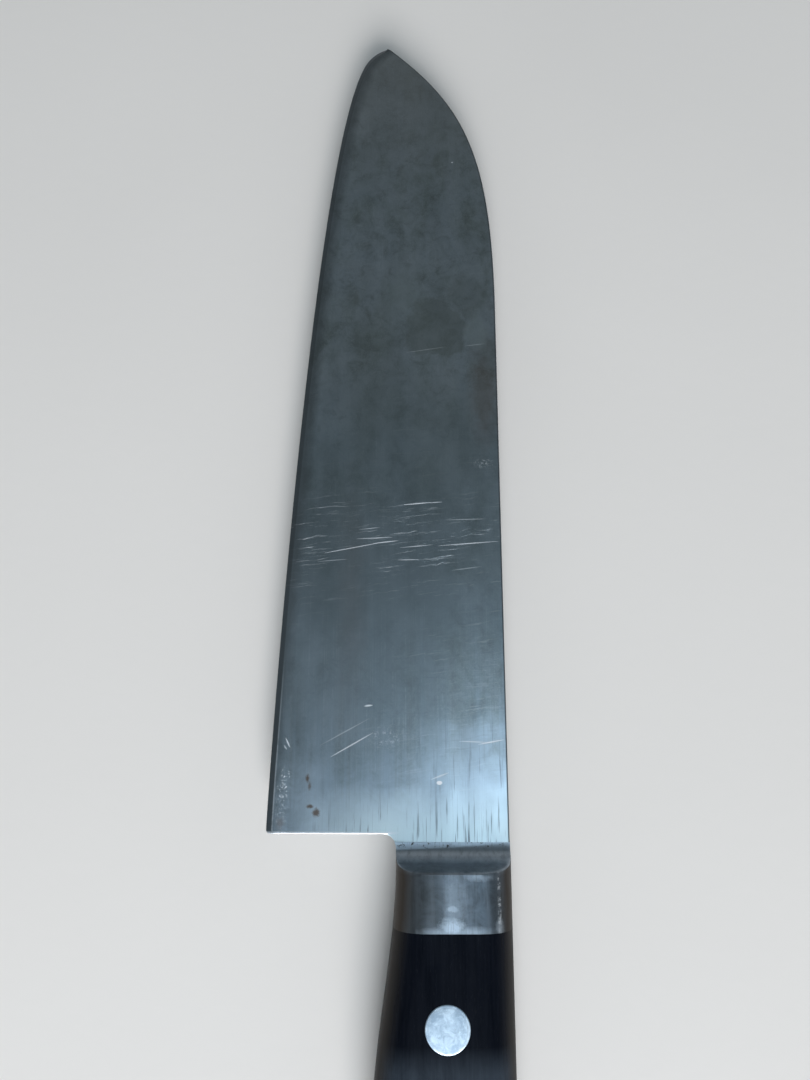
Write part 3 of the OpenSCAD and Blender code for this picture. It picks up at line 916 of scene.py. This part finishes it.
def blade_steel():
    """Used steel with a lengthwise polish, greyed by a thin patina, scratched across and with stains.
    Highlights by the heel, glints, and dark reflections on the bevel and the spine are painted.
    """
    s = Shade("ground_steel")
    mottle = s.noise((0.045, 0.08, 0.6), 5, 0.62, (4.1, 2.7, 0), 0.8)
    clouds = s.noise((0.16, 0.22, 1.0), 5, 0.65, (1.3, 8.2, 0), 0.5)
    broad = s.noise((0.011, 0.20, 0.6), 4, 0.6, (0, 5.1, 0), 0.2)
    streak = s.noise((0.035, 1.5, 0.6), 4, 0.62, (3.1, 5.1, 0), 0.1)
    fine_streak = s.noise((0.05, 5.0, 1.0), 3, 0.7, (9.3, 0, 0))
    grain = s.noise((2.4, 3.0, 2.0), 3, 0.7)
    drift = s.noise((0.12, 0.16, 1.0), 2, 0.5, (1.3, 8.2, 0), 0.3)
    # given a lengthwise polish towards the heel; the same share also paints the steel lighter and bluer
    # there, a painted highlight
    polish_and_highlight = s.spread(s.along, 50, 0)
    # where highlights are painted: by the heel on the spine side, and along the heel line
    heel_highlight_zone = s.times(s.spread(s.add(s.along, s.swing(drift, 12)), 24, 5),
                      s.spread(s.add(s.across, s.swing(broad, 8)), 20, 9))
    heel_line_highlight = s.times(s.spread(s.add(s.along, s.swing(drift, 4)), 9.0, 1.0),
                         s.spread(s.across, 43, 24))
    heel_highlight_zone = s.most(heel_highlight_zone, heel_line_highlight)

    # patina: cool dark grey with greener and bluer clouds
    tone = s.mix(s.spread(mottle, 0.36, 0.66), (0.29, 0.335, 0.335), (0.345, 0.40, 0.445))
    smudge = s.noise((0.42, 0.34, 1.0), 5, 0.72, (6.3, 0.9, 0), 0.8)
    tone = s.layers(tone,
                    (clouds, 0.44, 0.66, 0.9, (0.385, 0.435, 0.475)),
                    (clouds, 0.46, 0.30, 0.8, (0.225, 0.255, 0.255)),
                    (smudge, 0.50, 0.68, 0.45, (0.42, 0.475, 0.51)),
                    (smudge, 0.48, 0.32, 0.45, (0.20, 0.225, 0.225)),
                    (s.along, 140, 172, 0.6, (0.335, 0.34, 0.33)),
                    (grain, 0.48, 0.72, 0.35, (0.47, 0.52, 0.55)))
    tone = s.mix(s.times(s.band(s.along, 30, 42, 80, 96), 0.55), tone, (0.23, 0.285, 0.315))
    # painted light: the polish painted lighter and bluer towards the heel, painted highlights by the heel
    # and along the heel line, and painted shade towards the edge in the middle of the blade
    polish_and_painted_light = s.mix(s.times(polish_and_highlight, s.spread(broad, 0.38, 0.62), 0.7), tone, (0.37, 0.475, 0.57))
    polish_and_painted_light = s.mix(s.times(polish_and_highlight, s.spread(streak, 0.45, 0.7), 0.4), polish_and_painted_light, (0.47, 0.58, 0.685))
    painted_heel_highlight = s.times(s.spread(s.along, 16, 2), s.spread(smudge, 0.3, 0.7, 0.4, 1), 0.7)
    polish_and_painted_light = s.mix(painted_heel_highlight, polish_and_painted_light, (0.62, 0.74, 0.87))
    shaded = s.times(s.band(s.along, 8, 26, 50, 75),
                     s.spread(s.add(s.across, s.times(clouds, 8)), 12, 19))
    polish_and_painted_light = s.mix(s.times(shaded, 0.5), polish_and_painted_light, (0.26, 0.31, 0.345))
    polish_and_painted_light = s.mix(s.times(heel_highlight_zone, s.spread(clouds, 0.30, 0.62, 0.62, 0.95)), polish_and_painted_light, (0.69, 0.805, 0.905))
    polish_and_painted_light = s.mix(s.times(heel_line_highlight, 0.8), polish_and_painted_light, (0.84, 0.97, 1.0))
    some = s.spread(smudge, 0.42, 0.62)
    fine_light = s.times(s.spread(fine_streak, 0.55, 0.8), some, s.add(0.14, s.times(polish_and_highlight, 0.30)))
    lined = s.mix(fine_light, polish_and_painted_light, (0.74, 0.80, 0.86))
    fine_dark = s.times(s.spread(fine_streak, 0.42, 0.25), some, s.add(0.18, s.times(polish_and_highlight, 0.28)))
    lined = s.mix(fine_dark, lined, (0.20, 0.225, 0.245))
    short = s.noise((0.085, 1.9, 1.0), 3, 0.6, (0.6, 2.9, 0), 0.15)
    # short dark streaks, strongest where the heel's highlight is painted
    short_dark = s.times(s.spread(short, 0.43, 0.33), s.add(0.10, s.times(heel_highlight_zone, 0.75)),
                         s.spread(s.along, 44, 18))
    lined = s.mix(short_dark, lined, (0.19, 0.22, 0.26))

    # fine scratches across the blade: many in one band, and a weave of thin ones near the spine
    skew = s.add(s.along, s.times(s.across, 0.12), s.swing(drift, 1.6))
    lines_at = s.joined(s.times(skew, 2.3), s.times(s.across, 0.085), s.up)
    thin = s.out("ShaderNodeTexNoise", {
        "Vector": lines_at, "Scale": 1.0, "Detail": 4.0, "Roughness": 0.8, "Distortion": 0.15})
    group = s.noise((0.09, 0.07, 1.0), 4, 0.65, (7.7, 1.9, 0))
    weave = s.times(s.band(s.along, 4, 14, 36, 52), s.spread(s.across, 26, 12), 0.22)
    in_band = s.add(s.band(s.along, 44, 54, 59, 70), weave, 0.07)
    scratches = s.times(s.spread(thin, 0.58, 0.70), s.spread(group, 0.36, 0.56), in_band)
    weave_dark = s.times(s.spread(thin, 0.42, 0.30), weave, 1.6)
    lined = s.mix(weave_dark, lined, (0.20, 0.23, 0.26))
    specks = s.spread(s.noise((2.1, 1.7, 1.0), 4, 0.75, (3.3, 6.6, 0), 0.6), 0.53, 0.66)
    specked = s.times(s.marks(FLECKED_PLACES), specks)
    marks = s.most(*[s.scratch(*row) for row in SCRATCHES], s.patch(*WHITE_DOT), specked)
    marks = s.times(marks, s.left)
    bright = s.least(s.add(scratches, marks), 1)
    lined = s.mix(bright, lined, (0.95, 0.97, 1.0))

    # stains, darker smudges and rust dots
    brown, dark_patch, pale_patch = [s.times(s.marks(rows), s.left)
                                     for rows in (RUST, DARK_STAINS, PALE_STAINS)]
    stains_and_painted_light = s.mix(brown, lined, (0.105, 0.075, 0.055))
    stains_and_painted_light = s.mix(dark_patch, stains_and_painted_light, (0.17, 0.195, 0.185))
    stains_and_painted_light = s.mix(pale_patch, stains_and_painted_light, (0.40, 0.46, 0.475))
    from_edge = s.attribute("from_edge")
    blotch = s.add(from_edge, s.swing(clouds, 2.4), s.times(polish_and_highlight, 0.9))
    # a darker blotchy band along the cutting edge, and the bevel itself painted darker, a painted dark
    # reflection
    stains_and_painted_light = s.layers(stains_and_painted_light,
                       (blotch, 3.6, 1.6, 0.62, (0.150, 0.165, 0.175)),
                       (from_edge, 1.02, 0.96, 0.45, (0.12, 0.13, 0.14)))
    # painted glints: a bright line along the top of the bevel by the heel, and one along the heel's edge
    shoulder_glint = s.times(s.band(from_edge, 0.98, 1.08, 1.18, 1.34), s.spread(s.along, 34, 10),
                       s.spread(clouds, 0.35, 0.5))
    heel_edge_glint = s.times(s.band(s.along, -0.1, 0.05, 0.3, 0.55), s.spread(s.across, 21.0, 23.0),
                        s.spread(grain, 0.25, 0.5, 0.5, 1))
    stains_and_painted_light = s.mix(s.most(s.times(shoulder_glint, 0.7), heel_edge_glint), stains_and_painted_light, (0.92, 0.96, 1.0))
    # painted dark reflection along the rounded spine
    stains_and_painted_light = s.layers(stains_and_painted_light, (s.attribute("from_spine"), 0.42, 0.2, 0.8, (0.10, 0.11, 0.12)))
    tang = s.spread(s.along, -1.5, -2.6)
    tarnish = s.mix(s.spread(smudge, 0.38, 0.64), (0.17, 0.155, 0.14), (0.27, 0.275, 0.28))
    stains_and_painted_light = s.mix(tang, stains_and_painted_light, tarnish)

    rough = s.add(s.spread(polish_and_highlight, 0, 1, 0.37, 0.32), s.swing(mottle, 0.14),
                  s.times(marks, 0.25), s.swing(drift, 0.12),
                  s.swing(broad, 0.12), s.times(brown, 0.22), s.times(dark_patch, 0.10))
    rough = s.most(rough, LEAST_ROUGH)
    height = s.add(s.times(broad, 0.3), s.times(streak, 0.4), s.times(fine_streak, 0.12),
                   s.times(bright, -0.5))
    s.bump(height, 0.012)
    metal = s.add(1.0, s.times(marks, -0.62), s.times(scratches, -0.40))
    return s.finish(stains_and_painted_light, rough, metal)


def bolster_steel():
    """Steel brushed lengthwise, with rubs and painted highlights in places, painted light on the ramp and
    a painted brown reflection on its rounded sides.
    """
    s = Shade("bolster_brushed")
    wide = s.noise((0.07, 0.85, 0.8), 4, 0.62, (2.2, 0.4, 0), 0.3)
    fine = s.noise((0.22, 5.0, 1.4), 3, 0.7, (0, 7.9, 0), 0.2)
    cloud = s.noise((0.30, 0.26, 0.4), 5, 0.65, (5.5, 1.1, 0), 0.9)
    pits = s.noise((1.7, 1.7, 1.7), 3, 0.7, (3.1, 0, 0))
    sideways = s.normal_part(1)
    base = s.mix(s.spread(cloud, 0.36, 0.62), (0.090, 0.107, 0.120), (0.155, 0.190, 0.225))
    base = s.layers(base,
                    (wide, 0.44, 0.66, 0.5, (0.22, 0.27, 0.32)),
                    (s.add(s.across, s.swing(wide, 3)), 12.5, 14.5, 0.55, (0.095, 0.100, 0.102)))
    # rubs and painted highlights on top, and a painted highlight where the bolster runs into the blade
    rubs_and_highlight = s.most(s.marks(RUB_AND_HIGHLIGHT_PLACES), s.times(s.spread(s.along, -3.4, -1.5), 0.9))
    base = s.mix(rubs_and_highlight, base, (0.66, 0.76, 0.86))
    # painted highlight: a broken bright line on the spine-side rounding
    broken = s.spread(s.noise((0.9, 0.3, 1), 4, 0.7), 0.48, 0.6)
    painted_highlight_line = s.times(s.band(s.across, 2.5, 2.75, 3.0, 3.3), broken, s.spread(s.along, -5.6, -6.2))
    base = s.mix(s.times(painted_highlight_line, 0.9), base, (0.85, 0.92, 0.98))
    base = s.layers(base, (fine, 0.48, 0.28, 0.45, (0.14, 0.155, 0.17)))
    # painted light on the hollow ramp: a lighter zone and a painted highlight line
    ramp_zone = s.band(s.along, -6.4, -5.0, -2.6, -1.7)
    base = s.mix(s.times(ramp_zone, s.spread(wide, 0.3, 0.6, 0.45, 0.8)), base, (0.38, 0.44, 0.50))
    ramp_highlight_line = s.times(s.band(s.along, -3.9, -3.4, -3.1, -2.7), s.spread(wide, 0.35, 0.5, 0.4, 1))
    base = s.mix(s.times(ramp_highlight_line, 0.6), base, (0.62, 0.68, 0.74))
    pitted = s.times(s.spread(pits, 0.60, 0.67), s.add(0.22, s.band(s.along, -2.6, -2.0, -1.6, -1.3)))
    base = s.mix(s.times(pitted, 0.85), base, (0.085, 0.075, 0.065))
    # painted brown reflection on the rounded sides
    side = s.spread(s.add(sideways, s.swing(cloud, 0.22)), 0.40, 0.78)
    base = s.mix(s.times(side, 0.88), base, (0.044, 0.033, 0.024))
    rough = s.add(0.40, s.swing(wide, 0.2), s.times(side, 0.14), s.times(pitted, 0.2))
    height = s.add(s.times(wide, 0.5), s.times(fine, 0.4), s.times(cloud, 0.5), s.times(pitted, -0.8))
    s.bump(height, 0.014)
    return s.finish(base, rough, 1.0)


def black_laminate():
    """Black resin-bonded wood: smooth, with a faint lengthwise grain and dull rubs, a painted bluish
    sheen along part of the handle and a painted brown reflection on its sides.
    """
    s = Shade("black_laminate")
    plies = s.noise((0.02, 0.25, 3.2), 3, 0.6, (0, 0, 1.7))
    grain = s.noise((0.12, 2.4, 2.4), 4, 0.65, (6.1, 0, 0), 0.2)
    pores = s.noise((0.9, 6.0, 6.0), 2, 0.6, (0, 2.4, 0))
    rubs_and_highlight = s.noise((0.07, 0.14, 0.14), 5, 0.62, (8.8, 1.0, 0), 0.6)
    base = s.mix(s.spread(grain, 0.35, 0.7), (0.0018, 0.0028, 0.0058), (0.0040, 0.0055, 0.0100))
    base = s.layers(base,
                    (plies, 0.5, 0.7, 0.35, (0.0075, 0.0090, 0.0130)),
                    (pores, 0.62, 0.72, 0.5, (0.014, 0.016, 0.020)))
    side = s.spread(s.add(s.normal_part(2), s.swing(grain, 0.3)), 0.85, 0.45)
    # painted sheen: lighter and bluer along part of the handle
    painted_sheen = s.times(s.band(s.along, -80, -58, -38.5, -34),
                   s.spread(s.add(rubs_and_highlight, s.swing(grain, 0.3)), 0.32, 0.66, 0.45, 1))
    base = s.mix(s.times(painted_sheen, 0.8), base, (0.0440, 0.0570, 0.0740))
    # painted brown reflection on the rounded sides
    base = s.mix(s.times(side, 0.8), base, (0.0110, 0.0075, 0.0045))
    s.shader.inputs["IOR"].default_value = 1.22
    rough = s.add(0.20, s.swing(rubs_and_highlight, 0.22), s.swing(grain, 0.08), s.times(side, 0.30))
    s.bump(s.add(s.times(grain, 0.55), s.times(pores, 0.45), s.times(rubs_and_highlight, 0.5)), 0.008)
    return s.finish(base, rough, 0.0)


def rivet_steel():
    """Pale rivet heads, ground flush, clouded and with matt scratches and a faint ring."""
    s = Shade("rivet_ground")
    swirl = s.noise((0.6, 0.6, 0.5), 5, 0.7, (0, 4.4, 0), 0.5)
    scuff = s.noise((4.5, 1.2, 1.0), 3, 0.7, (2.9, 0, 0), 0.6)
    fleck = s.noise((2.6, 2.6, 1.0), 3, 0.65, (0.7, 9.1, 0))
    base = s.mix(s.spread(swirl, 0.40, 0.60), (0.36, 0.46, 0.56), (0.58, 0.70, 0.80))
    base = s.layers(base,
                    (scuff, 0.58, 0.72, 0.4, (0.40, 0.48, 0.55)),
                    (fleck, 0.62, 0.72, 0.6, (0.28, 0.33, 0.38)))
    from_axis = s.attribute("from_axis")
    ring = s.times(s.band(from_axis, 3.25, 3.45, 3.5, 3.7), s.spread(swirl, 0.3, 0.6, 0.2, 1))
    base = s.mix(s.times(ring, 0.5), base, (0.34, 0.41, 0.47))
    rough = s.add(0.46, s.swing(swirl, 0.2))
    s.bump(s.add(s.times(swirl, 0.6), s.times(scuff, 0.6)), 0.012)
    return s.finish(base, rough, 1.0)


def table_top():
    """The plain pale table: a matt coat with a very fine unevenness."""
    s = Shade("pale_table")
    broad = s.noise((0.004, 0.004, 0.004), 4, 0.6)
    fine = s.noise((0.35, 0.35, 0.35), 4, 0.6)
    base = s.mix(s.spread(broad, 0.3, 0.7), FLOOR_TINT, tuple(c * FLOOR_SHADE for c in FLOOR_TINT))
    s.bump(fine, 0.03)
    return s.finish(base, s.add(0.62, s.swing(fine, 0.1)), 0.0)


blade_finish = blade_steel()
bolster_finish = bolster_steel()
scale_finish = black_laminate()
rivet_finish = rivet_steel()
floor_finish = table_top()

# ---- pieces ----

new_piece("ground_blade", blade_mesh(), blade_finish, ["blade"])
for side_name, side in (("left", 1), ("right", -1)):
    new_piece("cheek_of_bolster_" + side_name, bolster_mesh(side), bolster_finish,
              ["bolster_" + side_name])


def scale_outline():
    """The handle's outline in plan, run on past the scale's front so that it can be cut square there.
    Each point also says how much of the rounding's width it takes: less round the belly's corner."""
    front = BOLSTER_END - SCALE_RUN_ON
    round_back = BUTT_BACK_AT + BUTT_BACK_R * np.sin(np.radians(np.arange(0, 90, 4)))
    round_low = BUTT_BELLY_AT + BUTT_BELLY_R * np.sin(np.radians(np.arange(0, 90, 5)))
    upper = np.concatenate([np.arange(front, BUTT_BACK_AT, SCALE_STEP), round_back, [HANDLE_LEN]])
    lower = np.concatenate([np.arange(front, BUTT_BELLY_AT, SCALE_STEP), round_low, [HANDLE_LEN]])[::-1]
    near_corner = ease((lower - BUTT_BELLY_AT + TIGHT_ROUND_RUN) / TIGHT_ROUND_RUN)
    tight = 1 - TIGHT_ROUND_LESS * near_corner
    butt = np.linspace(0, 1, 8)[1:-1]
    butt_low, butt_high = float(belly_y(HANDLE_LEN)), float(back_y(HANDLE_LEN))
    x = -np.concatenate([upper, np.full(len(butt), HANDLE_LEN), lower])
    y = np.concatenate([back_y(upper), butt_high + (butt_low - butt_high) * butt, belly_y(lower)])
    share = np.concatenate([np.ones(len(upper)), 1 + (tight[0] - 1) * ease(butt), tight])
    return x, y, share


outline_x, outline_y, outline_share = scale_outline()
outline_mesh = bpy.data.meshes.new("scale_outline")
outline_count = len(outline_x)
outline_mesh.from_pydata([(x * MM, y * MM, 0) for x, y in zip(outline_x, outline_y)],
                         [(i, (i + 1) % outline_count) for i in range(outline_count)], [])
point_values(outline_mesh, "round_share", outline_share)
rivet_centres = []
for rivet_name in RIVET_NAMES:
    low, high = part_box("rivet_" + rivet_name + "_tube")
    rivet_centres.append(((low.x + high.x) / 2, (low.y + high.y) / 2))
HEAD_R = (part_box("rivet_front_tube")[1].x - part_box("rivet_front_tube")[0].x) / 2
seat_points = placed("seat_points", point_mesh("seat_points", [
    (x - HEEL.x, y - HEEL.y, 0) for x, y in rivet_centres]))
tree_of_scale = scale_tree()
for side_name, side in (("left", 1.0), ("right", -1.0)):
    scale_mesh = run_tree(tree_of_scale, outline_mesh.copy(), {
        "Top": (HALF_HANDLE - SCALE_BELOW_HEADS) * MM,
        "Bottom": HALF_STOCK * MM,
        "Round In": ROUND_IN * MM,
        "Round Down": ROUND_DOWN * MM,
        "Power": ROUND_POWER,
        "Steps": ROUND_STEPS,
        "Front": -BOLSTER_END * MM,
        "Side": side,
        "Centre": tuple(HEEL),
        "Rivet Places": seat_points,
        "Head Radius": HEAD_R + HEAD_CLEARANCE * MM,
        "Head Depth": HEAD_THICK * MM,
        "Shank Radius": SHANK_HOLE_R * MM,
        "Material": scale_finish,
    })
    new_piece("handle_scale_" + side_name, outward(scale_mesh), scale_finish,
              ["scale_" + side_name])
bpy.data.objects.remove(seat_points)


def head_profile(radius):
    """The left head of a rivet as radius and height: flat, with an eased rim, down to its underside."""
    flat = [(NEARLY_ZERO, HALF_HANDLE), (radius * 0.5, HALF_HANDLE)]
    rim = [(radius - inset, HALF_HANDLE - drop) for inset, drop in HEAD_ROWS]
    return flat + rim + [(radius, UNDER_HEAD)]


left_head = head_profile(HEAD_R / MM)
bore_r = PIN_R + PIN_CLEARANCE
shank_end = UNDER_HEAD - END_GAP
tube_profile = left_head + [(TUBE_R, UNDER_HEAD), (TUBE_R, -shank_end), (bore_r, -shank_end),
                            (bore_r, UNDER_HEAD), (NEARLY_ZERO, UNDER_HEAD)]
pin_profile = [(r, -z) for r, z in left_head] + [(PIN_R, -UNDER_HEAD), (PIN_R, shank_end),
                                                 (NEARLY_ZERO, shank_end)]
tree_of_turned = turned_tree()
for half, profile in (("tube", tube_profile), ("pin", pin_profile)):
    template = placed("profile_" + half, point_mesh("profile_" + half, [
        (r * MM, 0, z * MM) for r, z in profile]))
    places = point_mesh("places_" + half, [(x, y, HEEL.z) for x, y in rivet_centres])
    rivet_mesh = run_tree(tree_of_turned, places, {
        "Profile": template, "Segments": RIVET_SIDES, "Material": rivet_finish})
    bpy.data.objects.remove(template)
    new_piece("rivet_" + half + "_halves", outward(rivet_mesh), rivet_finish,
              ["rivet_" + n + "_" + half for n in RIVET_NAMES])

# ---- table, light and camera ----


def aim(thing, place, side, back):
    """Puts a light or a camera at its place. It looks away from back, with side to its right."""
    side = (side - side.dot(back) * back).normalized()
    turn = Matrix((side, back.cross(side), back)).transposed().to_4x4()
    thing.matrix_world = Matrix.Translation(place) @ turn


def add_floor():
    bpy.ops.mesh.primitive_plane_add(size=FLOOR_SIZE)
    floor = bpy.context.object
    floor.name = "table_top"
    floor.data.materials.append(floor_finish)


def add_light(name, place, target, sides, watts, colour):
    data = bpy.data.lights.new(name, "AREA")
    data.shape = "RECTANGLE"
    data.size, data.size_y = sides
    data.energy = watts
    data.color = colour
    back = (Vector(place) - Vector(target)).normalized()
    aim(placed(name, data), place, Vector((1, 0, 0)), back)


def add_world():
    """A dim room overhead, brighter low down all round except past the tip."""
    world = bpy.data.worlds.new("studio")
    bpy.context.scene.world = world
    world.use_nodes = True
    tree = Tree(world.node_tree)
    parts = tree.parts(tree.node("ShaderNodeTexCoord").outputs["Generated"])
    low = tree.spread(parts[2], ROOM_LOW_FROM, ROOM_LOW_FULL)
    past_tip = tree.spread(parts[0], PAST_TIP_FROM, PAST_TIP_FULL)
    share = tree.times(low, tree.less(1, tree.times(past_tip, PAST_TIP_DIMMED)))
    mixed = tree.node("ShaderNodeMix", {0: share, 6: ROOM_OVERHEAD, 7: ROOM_LOW}, data_type="RGBA")
    tree.feed(world.node_tree.nodes["Background"].inputs[0], mixed.outputs[2])


def add_camera():
    data = bpy.data.cameras.new("camera")
    data.sensor_width = SENSOR_WIDTH
    data.lens = CAMERA_LENS
    data.clip_start = CLIP_START
    camera = placed("camera", data)
    aim(camera, CAMERA_AT, Vector(CAMERA_RIGHT), -Vector(CAMERA_FORWARD).normalized())
    bpy.context.scene.camera = camera


add_floor()
add_world()
add_camera()
for light_row in LIGHTS:
    add_light(*light_row)
bpy.context.scene.view_settings.view_transform = "Standard"
